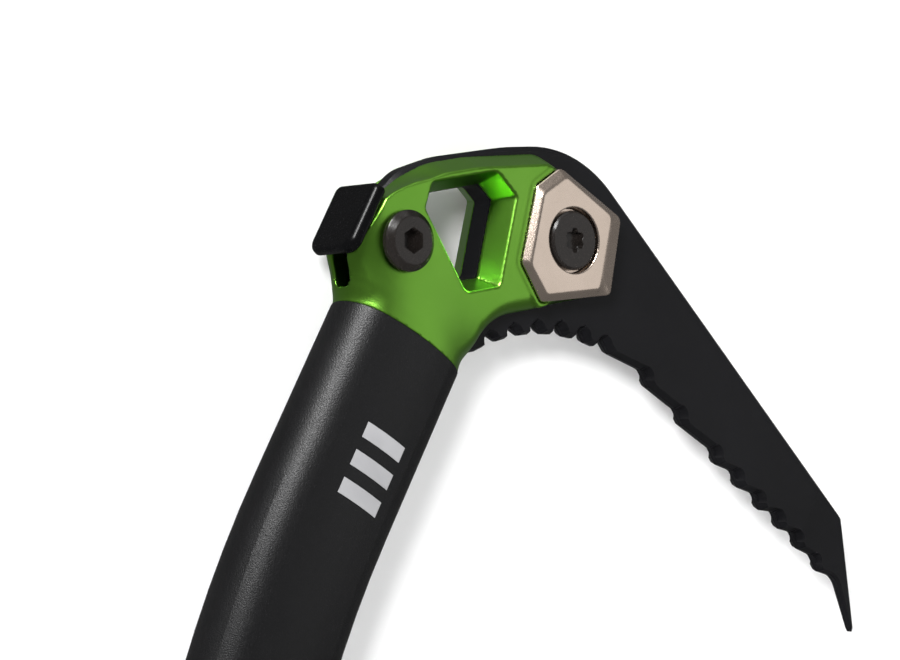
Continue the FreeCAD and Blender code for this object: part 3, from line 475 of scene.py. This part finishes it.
def neck_field(x, y, z):
    """From the cheeks' rounded rectangle down to the shaft's oval."""
    side = side_field(x, y, z)
    rear_x = REAR_FACE + REAR_TUCK * fade_down(z, NECK_TOP, 6.0)
    rear_round = 0.5 + 4.0 * fade_down(z, NECK_TOP + 1.5, 8.0)
    rear = meet(rear_x - x, side, rear_round)
    front_round = FRONT_ROUND + 4.2 * fade_down(z, NECK_TOP, 9.8)
    front = meet(x - FRONT_FACE, side, front_round)
    depth, width = SHAFT_DEPTH - 2 * COLLAR_TRIM, SHAFT_WIDTH - 2 * COLLAR_TRIM
    oval = oval_distance(x - SHAFT_OFFSET, y, depth, width, SHAFT_NOSE - COLLAR_TRIM)
    end = fade_down(z, NECK_TOP - 4.5, 5.3)
    section = (1 - end) * np.maximum(rear, front) + end * oval
    return np.maximum(meet(section, COLLAR_END - z, 0.15), z - NECK_REACH)


def head_field(x, y, z):
    """The forged and machined head, in its own frame.

    The bevel along the top fades in from z -6 to 6, and the big round only grows low on the nose.
    """
    ay = np.abs(y)
    edge = outline_distance(HEAD_OUTLINE, x, z)
    drop = BEVEL_DROP * smooth_step((z + 6.0) / 12.0) / (HEAD_HALF - SLOT_HALF)
    top = (edge + drop * (ay - SLOT_HALF)) / np.sqrt(1 + drop ** 2)
    low = smooth_step((x - 2.0) / 8.0) * smooth_step((6.0 - z + 0.25 * (x - 20.0)) / 8.0)
    plate = meet(top, side_field(x, y, z), CREASE_ROUND + (FRONT_ROUND - CREASE_ROUND) * low)
    solid = np.minimum(plate, neck_field(x, y, z))
    foot = outline_distance(WEIGHT_FOOT, x, z)
    rim = np.maximum(meet(foot - RIM_WIDTH, ay - HEAD_HALF - RIM_RISE, 0.5), top + 0.3)
    solid = join(solid, rim, 0.25)
    solid = cut(solid, np.maximum(foot - POCKET_GAP, HEAD_HALF - POCKET_DEPTH - ay), 0.22)
    eye_slope = EYE_INSET / (HEAD_HALF - SLOT_HALF)
    eye = outline_distance(EYE_OUTLINE, x, z) + eye_slope * (HEAD_HALF - ay)
    solid = cut(solid, eye / math.sqrt(1 + eye_slope ** 2), CREASE_ROUND)
    slot = meet(ay - SLOT_HALF, SLOT_FLOOR - z, 2.0)
    solid = cut(solid, slot, 0.25)
    for bolt_x, bolt_z in (REAR_BOLT, FRONT_BOLT):
        solid = cut(solid, np.hypot(x - bolt_x, z - bolt_z) - BOLT_HOLE, HOLE_EDGE)
    return solid


HEAD_LOW = (-25.0, -10.8, -29.5)
HEAD_HIGH = (44.0, 10.8, 28.5)
HEAD_STEP = 0.42


def make_head():
    """The green head in place of its CAD solid."""
    piece = surface_mesh("head_forging", head_field, HEAD_LOW, HEAD_HIGH, HEAD_STEP, HEAD_FRAME)
    return stand_in(piece, "head", "tool", GREEN)


WEIGHT_BACK = 6.4
WEIGHT_SHOULDER = 9.05
WEIGHT_SLOPE = 1.5
WEIGHT_FACE = 10.55
# The cosine of the rim's slope, which keeps its field close to a distance.
SLOPE_SCALE = 0.72
COUNTERBORE_RADIUS = 7.45
COUNTERBORE_FLOOR = 8.15
WEIGHT_LOW = (10.0, 6.0, -5.5)
WEIGHT_HIGH = (44.0, 10.9, 27.5)
WEIGHT_STEP = 0.28


def weight_field(x, y, z):
    """A steel cheek with a sloped rim and a counterbore; y is towards its outer face."""
    foot = outline_distance(WEIGHT_FOOT, x, z)
    top = outline_distance(WEIGHT_TOP, x, z)
    share = np.clip((y - WEIGHT_SHOULDER) / WEIGHT_SLOPE, 0, 1)
    sides = (foot * (1 - share) + top * share) * np.where(share > 0, SLOPE_SCALE, 1.0)
    solid = meet(sides, y - WEIGHT_FACE, 0.35)
    solid = meet(solid, WEIGHT_BACK - y, 0.1)
    around = np.hypot(x - FRONT_BOLT[0], z - FRONT_BOLT[1])
    solid = cut(solid, np.maximum(around - COUNTERBORE_RADIUS, COUNTERBORE_FLOOR - y), 0.3)
    return cut(solid, around - BOLT_HOLE, HOLE_EDGE)


def make_weights():
    """The two steel cheeks, which mirror each other in y."""
    for node, side in (("pick_weight_left", -1), ("pick_weight_right", 1)):
        def field(x, y, z):
            return weight_field(x, side * y, z)
        inner, outer = sorted((side * WEIGHT_LOW[1], side * WEIGHT_HIGH[1]))
        low = (WEIGHT_LOW[0], inner, WEIGHT_LOW[2])
        high = (WEIGHT_HIGH[0], outer, WEIGHT_HIGH[2])
        piece = surface_mesh(node + "_steel", field, low, high, WEIGHT_STEP, HEAD_FRAME)
        stand_in(piece, node, "tool", WEIGHT_STEEL)


HAMMER_X = -25.0
HAMMER_Z = -12.8
HAMMER_FACE = -26.4
HAMMER_THICK_HALF = 1.4
HAMMER_TALL_HALF = 8.4
HAMMER_FACE_HALF = 7.05
# The block widens forwards by this much per mm; the scale keeps its field close to a distance.
HAMMER_FLARE = 0.43
FLARE_SCALE = 0.92
BOSS_RADIUS = 7.0
TANG_TALL_HALF = 6.6
TANG_HALF = 2.55
HAMMER_LOW = (-27, -8.6, -22)
HAMMER_HIGH = (-6, 8.6, -3.5)
HAMMER_STEP = 0.26


def hammer_field(x, y, z):
    """The striking block behind the head, and its tang with a round boss in the slot."""
    ay = np.abs(y)
    half = HAMMER_FACE_HALF + HAMMER_FLARE * (x - HAMMER_FACE)
    corner = 1.7 + 1.3 * fade_down(z, HAMMER_Z, 4.0)
    outline = meet(FLARE_SCALE * (ay - half), np.abs(z - HAMMER_Z) - HAMMER_TALL_HALF, corner)
    block = meet(np.abs(x - HAMMER_X) - HAMMER_THICK_HALF, outline, 1.0)
    around = np.hypot(x - REAR_BOLT[0], z - REAR_BOLT[1])
    length = np.maximum(HAMMER_X + 0.5 - x, x - REAR_BOLT[0])
    bar = np.maximum(length, np.abs(z - REAR_BOLT[1]) - TANG_TALL_HALF)
    tang = meet(np.minimum(around - BOSS_RADIUS, bar), ay - TANG_HALF, 0.2)
    solid = join(block, tang, 0.5)
    return cut(solid, around - BOLT_HOLE, HOLE_EDGE)


def make_hammer():
    """The black hammer in place of its CAD solid."""
    piece = surface_mesh("hammer_block", hammer_field, HAMMER_LOW, HAMMER_HIGH, HAMMER_STEP, HEAD_FRAME)
    stand_in(piece, "hammer", "tool", HAMMER_BLACK)


# ---------------------------------------------------------------- mark on the shaft

MARK_GREY = black_oxide("mark_grey", (0.36, 0.36, 0.37), (0.45, 0.55), 0.3)
MARK_PLACE = (0.3, -60.0)
BAR_HALF = 5.8
BAR_HEIGHT = 3.6
BAR_STEP = 6.6
BAR_POINTS = 13
PRINT_RISE = 0.03
PRINT_SUNK = 0.05


def side_level(x):
    """How far the shaft's broad side stands from the middle plane."""
    nose_x = SHAFT_DEPTH / 2 - SHAFT_NOSE
    half = SHAFT_WIDTH / 2
    radius = (nose_x ** 2 + half ** 2 - SHAFT_NOSE ** 2) / (2 * (half - SHAFT_NOSE))
    return math.sqrt(radius ** 2 - (x - SHAFT_OFFSET) ** 2) - radius + half


def make_mark():
    """Three plain printed bars on each broad side of the shaft.

    A bar is a row of four-cornered sections that follow the side's curve.
    """
    points, faces = [], []
    section = [(-PRINT_SUNK, -1), (PRINT_RISE, -1), (PRINT_RISE, 1), (-PRINT_SUNK, 1)]
    for side in (-1, 1):
        for bar in (-1, 0, 1):
            middle = MARK_PLACE[1] + bar * BAR_STEP
            first = len(points)
            for i in range(BAR_POINTS):
                x = MARK_PLACE[0] + BAR_HALF * (2 * i / (BAR_POINTS - 1) - 1)
                level = side_level(x)
                for y, z in section:
                    points.append((x, side * (level + y), middle + z * BAR_HEIGHT / 2))
            for i in range(BAR_POINTS - 1):
                for k in range(4):
                    a = first + 4 * i + k
                    b = first + 4 * i + (k + 1) % 4
                    quad = (a, b, b + 4, a + 4)
                    faces.append(quad if side < 0 else quad[::-1])
            end = first + 4 * (BAR_POINTS - 1)
            caps = [(first + 3, first + 2, first + 1, first), (end, end + 1, end + 2, end + 3)]
            faces += caps if side < 0 else [cap[::-1] for cap in caps]
    piece = mesh_object("shaft_mark", points, faces, HEAD_FRAME)
    piece.data.materials.append(MARK_GREY)
    piece.data.shade_flat()
    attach(piece, "tool")


# ---------------------------------------------------------------- grip and pommel

GRIP_LOW = 54.0
GRIP_HIGH = 146.0
FLANGE = 3.0
CORE_WALL = 1.2
GRIP_WALL = 3.4
GRIP_MIDDLE = (GRIP_LOW + GRIP_HIGH) / 2
GRIP_HALF = (GRIP_HIGH - GRIP_LOW) / 2
CORE_GAP = 0.05
CHEVRON_MIDDLE = -2.0
CHEVRON_REACH = 8.5
CHEVRON_PITCH = 6.5
CHEVRON_SLOPE = 0.45
CHEVRON_DEPTH = 0.6
CHEVRON_WIDTH = 0.75
LEDGE_HALF = 7.5
LEDGE_CLEARANCE = 0.2
SHAFT_FRONT = SHAFT_DEPTH / 2
LEDGE_OUTLINE = rounded_outline([
    (SHAFT_FRONT - 2.8, GRIP_HIGH - 17.0, 0),
    (SHAFT_FRONT + 3.4, GRIP_HIGH - 17.0, 5.0),
    (SHAFT_FRONT + 5.2, GRIP_HIGH - 8.5, 5.0),
    (SHAFT_FRONT + 16.2, GRIP_HIGH - 9.5, 2.0),
    (SHAFT_FRONT + 16.7, GRIP_HIGH - 5.0, 2.2),
    (SHAFT_FRONT + 6.2, GRIP_HIGH - 0.5, 7.0),
    (SHAFT_FRONT - 2.8, GRIP_HIGH, 0),
])
POMMEL_LOW = 3.0
POMMEL_HIGH = 30.0
POMMEL_GAP = 0.15
POMMEL_WALL = 3.35
POMMEL_LEDGE_HALF = 8.5
POMMEL_OUTLINE = rounded_outline([
    (SHAFT_FRONT - 2.65, POMMEL_LOW, 0),
    (SHAFT_FRONT + 16.35, POMMEL_LOW, 5.0),
    (SHAFT_FRONT + 20.35, POMMEL_LOW + 8.0, 2.5),
    (SHAFT_FRONT + 10.35, POMMEL_LOW + 9.5, 9.0),
    (SHAFT_FRONT + 4.35, POMMEL_HIGH, 0.8),
    (SHAFT_FRONT - 2.65, POMMEL_HIGH, 0),
])
EAR_ROOT = -SHAFT_FRONT - 1.15
EAR_FACE = 5.4
EAR_LENGTH = 9.6
SLIT_HALF = 1.2
SLIT_END = -8.0
EAR_OUTLINE = rounded_outline([
    (EAR_ROOT, POMMEL_HIGH - 4.0, 0),
    (EAR_ROOT - EAR_LENGTH, POMMEL_HIGH - 6.0, 2.5),
    (EAR_ROOT - EAR_LENGTH, POMMEL_LOW + 6.0, 2.5),
    (EAR_ROOT, POMMEL_LOW + 4.0, 0),
])
SCREW_X = EAR_ROOT - EAR_LENGTH * 0.56
SCREW_Z = (POMMEL_LOW + POMMEL_HIGH) / 2
SCREW_HOLE = 2.1


def tube_distance(x, y):
    """Signed distance from the tube's outside, in the grip frame."""
    return oval_distance(x, y, SHAFT_DEPTH, SHAFT_WIDTH, SHAFT_NOSE)


def sleeve_field(x, y, z):
    """Soft rubber with shallow chevron grooves on its sides and a notch round the ledge."""
    tube = tube_distance(x, y)
    aside = np.abs(x - CHEVRON_MIDDLE)
    phase = np.mod(z + CHEVRON_SLOPE * aside, CHEVRON_PITCH) - CHEVRON_PITCH / 2
    across = smooth_step((CHEVRON_REACH - aside) / 1.5)
    ends = smooth_step((np.minimum(z - GRIP_LOW, GRIP_HIGH - z) - 8.0) / 3.0)
    groove = CHEVRON_DEPTH * np.exp(-((phase / CHEVRON_WIDTH) ** 2)) * across * ends
    outer = meet(tube - GRIP_WALL + groove, np.abs(z - GRIP_MIDDLE) - (GRIP_HALF - FLANGE), 0.35)
    notch = np.maximum(SHAFT_FRONT - 6.0 - x, GRIP_HIGH - 17.4 - z)
    notch = np.maximum(notch, np.abs(y) - (LEDGE_HALF + LEDGE_CLEARANCE))
    return cut(np.maximum(outer, CORE_WALL - tube), notch, 0.3)


def core_field(x, y, z):
    """The hard sleeve: a thin shell, a rounded flange at each end and the finger ledge."""
    tube = tube_distance(x, y)
    span = np.abs(z - GRIP_MIDDLE) - GRIP_HALF
    shell = np.maximum(tube - CORE_WALL, span)
    flanges = meet(tube - GRIP_WALL, np.maximum(span, -span - FLANGE), 0.7)
    ledge = meet(outline_distance(LEDGE_OUTLINE, x, z), np.abs(y) - LEDGE_HALF, 1.8)
    solid = np.minimum(shell, join(flanges, ledge, 1.0))
    return np.maximum(solid, CORE_GAP - tube)


def pommel_field(x, y, z):
    """The sliding collar: a smooth little-finger ledge in front and two clamp ears behind."""
    tube = tube_distance(x, y)
    collar = meet(tube - POMMEL_WALL, np.abs(z - SCREW_Z) - (POMMEL_HIGH - POMMEL_LOW) / 2, 1.2)
    ledge = meet(outline_distance(POMMEL_OUTLINE, x, z), np.abs(y) - POMMEL_LEDGE_HALF, 3.0)
    ears = meet(outline_distance(EAR_OUTLINE, x, z), np.abs(y) - EAR_FACE, 0.6)
    solid = join(join(collar, ledge, 2.0), ears, 1.2)
    slit = np.maximum(np.abs(y) - SLIT_HALF, x - SLIT_END)
    solid = cut(solid, slit, 0.3)
    solid = cut(solid, np.hypot(x - SCREW_X, z - SCREW_Z) - SCREW_HOLE, HOLE_EDGE)
    return np.maximum(solid, POMMEL_GAP - tube)


def make_grip():
    """The grip's two layers and the pommel, each with its mesh box and step."""
    pieces = [
        ("sleeve_rubber", "grip_sleeve", "tool", "grip_rubber", RUBBER, sleeve_field,
         (-20.4, -14.1, 56.9), (20.4, 14.1, 143.1), 0.55),
        ("core_shell", "grip_core", "tool", "grip_plastic", GRIP_BLACK, core_field,
         (-20.4, -14.1, 53.9), (33.8, 14.1, 146.1), 0.5),
        ("pommel_shell", "pommel", "pommel", "pommel_plastic", POMMEL_BLACK, pommel_field,
         (-28.0, -14.1, 2.9), (37.5, 14.1, 30.1), 0.5),
    ]
    for name, node, body, slot, material, field, low, high, step in pieces:
        piece = surface_mesh(name, field, low, high, step, GRIP_FRAME)
        stand_in(piece, node, body, material)


def paint_nodes():
    """Finishes for the CAD pieces whose shape is shown as it is."""
    finishes = {
        "shaft_tube": COAT,
        "pick": PICK_BLACK,
        "pick_bolt": SCREW_BLACK,
        "pick_nut": SCREW_BLACK,
        "hammer_bolt": SCREW_BLACK,
        "hammer_nut": SCREW_BLACK,
        "upper_grip": RUBBER,
        "end_plug": GRIP_BLACK,
        "spike": BRIGHT_STEEL,
        "spike_pins": BRIGHT_STEEL,
        "clamp_screw": BRIGHT_STEEL,
        "clamp_nut": BRIGHT_STEEL,
        "cam_washer": BRIGHT_STEEL,
        "lever_pivot": BRIGHT_STEEL,
        "cam_lever": GREEN,
    }
    for node, material in finishes.items():
        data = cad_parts[node].data
        data.materials.clear()
        data.materials.append(material)


# ---------------------------------------------------------------- stage, light and camera


def stage_material(name, grey, glow, one_way):
    """Matt white with some light of its own. A one-way wall is seen from its front only."""
    material, shader = new_material(name)
    tree = material.node_tree
    shader.inputs["Base Color"].default_value = (grey, grey, grey, 1)
    shader.inputs["Emission Color"].default_value = (1, 1, 1, 1)
    shader.inputs["Emission Strength"].default_value = glow
    shader.inputs["Roughness"].default_value = 0.9
    shader.inputs["Specular IOR Level"].default_value = 0.0
    if one_way:
        output = next(n for n in tree.nodes if n.type == "OUTPUT_MATERIAL")
        clear = tree.nodes.new("ShaderNodeBsdfTransparent")
        geometry = tree.nodes.new("ShaderNodeNewGeometry")
        path = tree.nodes.new("ShaderNodeLightPath")
        either = tree.nodes.new("ShaderNodeMath")
        either.operation = "MAXIMUM"
        mix = tree.nodes.new("ShaderNodeMixShader")
        link(material, geometry.outputs["Backfacing"], either.inputs[0])
        link(material, path.outputs["Is Shadow Ray"], either.inputs[1])
        link(material, either.outputs[0], mix.inputs["Fac"])
        link(material, shader.outputs["BSDF"], mix.inputs[1])
        link(material, clear.outputs["BSDF"], mix.inputs[2])
        link(material, mix.outputs["Shader"], output.inputs["Surface"])
    return material


def stage_plane(name, corners, material):
    """One flat face of the stage."""
    mesh = bpy.data.meshes.new(name)
    mesh.from_pydata(corners, [], [tuple(range(len(corners)))])
    mesh.materials.append(material)
    piece = bpy.data.objects.new(name, mesh)
    bpy.context.scene.collection.objects.link(piece)
    return piece


FLOOR_DROP = 0.05
WALL_GAP = 0.001
REACH = 4.0


def make_stage():
    """A pale floor under the hanging tool and a white wall close behind it."""
    low, high = CAD_BOX
    floor_z = low.z - FLOOR_DROP
    corners = [(x * REACH, y * REACH, floor_z) for x, y in ((-1, -1), (1, -1), (1, 1), (-1, 1))]
    floor = stage_plane("floor", corners, stage_material("floor_white", 0.85, 0.35, False))
    floor.visible_glossy = False
    wall_y = high.y + WALL_GAP
    corners = [(-REACH, wall_y, floor_z), (REACH, wall_y, floor_z)]
    corners += [(REACH, wall_y, REACH), (-REACH, wall_y, REACH)]
    wall = stage_plane("wall", corners, stage_material("wall_white", 0.9, 0.06, True))
    wall.visible_glossy = False


LIGHT_AIM = (0.02, 0.0, -0.03)
SKY_LIGHT = 0.14


def soft_box(name, place, width, height, power):
    """A rectangular area light turned to the head; sizes in metres, power in watts."""
    data = bpy.data.lights.new(name, "AREA")
    data.shape = "RECTANGLE"
    data.size, data.size_y = width, height
    data.energy = power
    lamp = bpy.data.objects.new(name, data)
    bpy.context.scene.collection.objects.link(lamp)
    lamp.location = place
    lamp.rotation_euler = (Vector(LIGHT_AIM) - Vector(place)).to_track_quat("-Z", "Y").to_euler()
    return lamp


def make_light():
    """A broad box for the cheeks, a key above left, a lamp by the camera, and two weak fills.

    The key shows in reflections only, and the lamp lights matt surfaces and the wall only.
    """
    soft_box("front_box", (0.75, -0.95, 0.10), 1.0, 1.0, 1.75)
    key = soft_box("key_box", (-0.510, -0.445, 0.825), 0.28, 0.45, 19.5)
    key.visible_diffuse = False
    lamp = soft_box("camera_lamp", (-1.47, -1.24, 0.42), 0.45, 0.45, 52.0)
    lamp.visible_glossy = False
    soft_box("left_box", (-1.0, 0.10, 0.45), 0.6, 1.1, 0.12)
    soft_box("top_box", (0.0, -0.25, 1.2), 1.2, 0.5, 1.4)
    world = bpy.data.worlds.new("studio")
    world.use_nodes = True
    bpy.context.scene.world = world
    tree = world.node_tree
    sky = tree.nodes["Background"]
    sky.inputs["Color"].default_value = (1, 1, 1, 1)
    path = tree.nodes.new("ShaderNodeLightPath")
    strength = tree.nodes.new("ShaderNodeMapRange")
    strength.inputs["To Min"].default_value = SKY_LIGHT
    strength.inputs["To Max"].default_value = 1.0
    tree.links.new(path.outputs["Is Camera Ray"], strength.inputs["Value"])
    tree.links.new(strength.outputs["Result"], sky.inputs["Strength"])


CAMERA_PLACE = (-0.38975, -0.46575, -0.04331)
CAMERA_TURN = math.radians(40)
CAMERA_RISE = math.radians(2)


def make_camera():
    """Level with the head, 40 degrees round to the rear, looking up by 2 degrees."""
    data = bpy.data.cameras.new("camera")
    data.lens = 110
    data.sensor_width = 36
    camera = bpy.data.objects.new("camera", data)
    bpy.context.scene.collection.objects.link(camera)
    camera.location = CAMERA_PLACE
    level = math.cos(CAMERA_RISE)
    look = Vector((math.sin(CAMERA_TURN) * level, math.cos(CAMERA_TURN) * level, math.sin(CAMERA_RISE)))
    camera.rotation_euler = look.to_track_quat("-Z", "Y").to_euler()
    bpy.context.scene.camera = camera
    bpy.context.scene.view_settings.view_transform = "Standard"


make_head()
make_weights()
make_hammer()
make_mark()
make_grip()
paint_nodes()
make_stage()
make_light()
make_camera()
